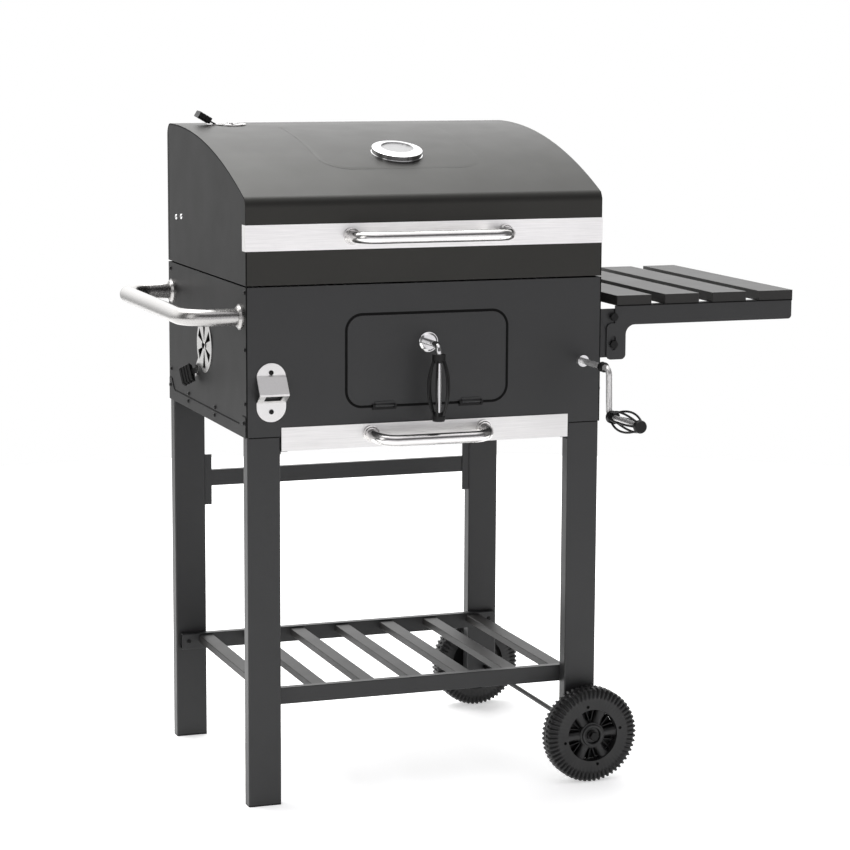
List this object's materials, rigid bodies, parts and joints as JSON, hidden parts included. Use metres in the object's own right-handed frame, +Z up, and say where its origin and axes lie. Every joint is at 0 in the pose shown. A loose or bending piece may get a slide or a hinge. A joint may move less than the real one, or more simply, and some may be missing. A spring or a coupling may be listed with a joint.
{
  "type": "charcoal grill cart",
  "caption": "Box-shaped charcoal grill on a wheeled cart, with a hinged lid, charging door, ash drawer, crank-lifted charcoal tray, vents, slatted shelf and folding side table.",
  "frame": {"origin": "on the floor, in the middle of the overall footprint", "axes": "+X towards the side table, +Y from the front towards the back, +Z up"},
  "size_m": [1.0556, 0.761, 1.0931],
  "materials": {
    "charcoal_coat": "satin charcoal powder coat",
    "slat_coat": "satin charcoal powder coat",
    "firebox_coat": "matt black heat-resistant paint",
    "grate_enamel": "glossy black enamel",
    "stainless": "brushed stainless steel",
    "chrome": "polished chrome plate",
    "dial_face": "plain grey dial",
    "zinc_steel": "dull zinc plate",
    "black_plastic": "satin black moulding",
    "wheel_plastic": "satin black moulding"
  },
  "bodies": {
    "cart": {"leg_front_left": "charcoal_coat", "leg_back_left": "charcoal_coat", "leg_front_right": "charcoal_coat", "leg_back_right": "charcoal_coat", "foot_caps": "black_plastic", "rear_cross_brace": "charcoal_coat", "shelf_front_rail": "charcoal_coat", "shelf_back_rail": "charcoal_coat", "shelf_slats": "slat_coat", "axle": "zinc_steel", "axle_nuts": "zinc_steel", "firebox_front": "charcoal_coat", "firebox_back": "charcoal_coat", "firebox_left": "charcoal_coat", "firebox_right": "charcoal_coat", "firebox_floor": "firebox_coat", "grate_ledges": "firebox_coat", "cooking_grates": "grate_enamel", "side_skirts": "charcoal_coat", "panel_screws": "zinc_steel", "push_handle": "stainless", "bottle_opener": "stainless", "drawer_runners": "firebox_coat", "tray_guides": "charcoal_coat", "table_brackets": "charcoal_coat", "table_bolts": "zinc_steel", "body_hinge_leaves": "zinc_steel", "crank_bushes": "chrome", "door_hinge_brackets": "zinc_steel"},
    "lid": {"lid_shell": "charcoal_coat", "lid_side_left": "charcoal_coat", "lid_side_right": "charcoal_coat", "lid_trim_band": "stainless", "lid_handle": "stainless", "lid_hinge_leaves": "zinc_steel", "thermometer_case": "chrome", "thermometer_dial": "dial_face"},
    "lid_vent": {"lid_vent_disc": "stainless", "lid_vent_tab": "black_plastic"},
    "door": {"door_panel": "charcoal_coat", "door_escutcheon": "chrome"},
    "latch": {"latch_rod": "chrome", "latch_grip": "black_plastic"},
    "drawer": {"ash_drawer_tray": "firebox_coat", "ash_drawer_front": "stainless", "ash_drawer_handle": "stainless"},
    "tray": {"charcoal_tray": "firebox_coat", "charcoal_grate": "grate_enamel", "lift_racks": "zinc_steel"},
    "crank": {"crank_rod": "chrome", "crank_grip": "black_plastic", "pinions": "zinc_steel"},
    "left_vent": {"left_vent_disc": "stainless", "left_vent_tab": "black_plastic"},
    "right_vent": {"right_vent_disc": "stainless", "right_vent_tab": "black_plastic"},
    "side_table": {"table_planks": "slat_coat", "table_arms": "charcoal_coat"},
    "front_wheel": {"wheel_front": "wheel_plastic"},
    "back_wheel": {"wheel_back": "wheel_plastic"}
  },
  "joints": [
    {"name": "lid_hinge", "type": "hinge", "parent": "cart", "child": "lid", "pos_m": [-0.1253, 0.3345, 0.8352], "axis": [-1, 0, 0], "range_deg": [0, 85]},
    {"name": "lid_vent_turn", "type": "hinge", "parent": "lid", "child": "lid_vent", "pos_m": [-0.3353, 0.25048, 1.0694], "axis": [0, -0.0457, 0.999], "range_deg": [0, 30]},
    {"name": "door_hinge", "type": "hinge", "parent": "cart", "child": "door", "pos_m": [-0.1253, -0.1521, 0.6404], "axis": [1, 0, 0], "range_deg": [0, 75]},
    {"name": "latch_turn", "type": "hinge", "parent": "door", "child": "latch", "pos_m": [-0.1243, -0.1495, 0.739], "axis": [0, -1, 0], "range_deg": [0, 125]},
    {"name": "drawer_slide", "type": "slide", "parent": "cart", "child": "drawer", "axis": [0, -1, 0], "range_m": [0, 0.38]},
    {"name": "tray_lift", "type": "slide", "parent": "cart", "child": "tray", "axis": [0, 0, 1], "range_m": [0, 0.07]},
    {"name": "crank_turn", "type": "hinge", "parent": "cart", "child": "crank", "pos_m": [0.1437, -0.1495, 0.698], "axis": [0, 1, 0], "range_deg": [0, 270]},
    {"name": "left_vent_turn", "type": "hinge", "parent": "cart", "child": "left_vent", "pos_m": [-0.4253, 0.0943, 0.716], "axis": [1, 0, 0], "range_deg": [0, 30]},
    {"name": "right_vent_turn", "type": "hinge", "parent": "cart", "child": "right_vent", "pos_m": [0.1747, 0.0943, 0.716], "axis": [1, 0, 0], "range_deg": [0, 30]},
    {"name": "table_fold", "type": "hinge", "parent": "cart", "child": "side_table", "pos_m": [0.2021, 0.0895, 0.7214], "axis": [0, 1, 0], "range_deg": [0, 90]},
    {"name": "front_wheel_spin", "type": "hinge", "parent": "cart", "child": "front_wheel", "pos_m": [0.1527, -0.1755, 0.079], "axis": [0, 1, 0], "continuous": true},
    {"name": "back_wheel_spin", "type": "hinge", "parent": "cart", "child": "back_wheel", "pos_m": [0.1527, 0.3545, 0.079], "axis": [0, 1, 0], "continuous": true}
  ],
  "couplings": [
    {"joint": "crank_turn", "follows": "tray_lift", "rad_per_m": 66.667},
    {"joint": "latch_turn", "follows": "door_hinge", "ratio": 1.6}
  ]
}
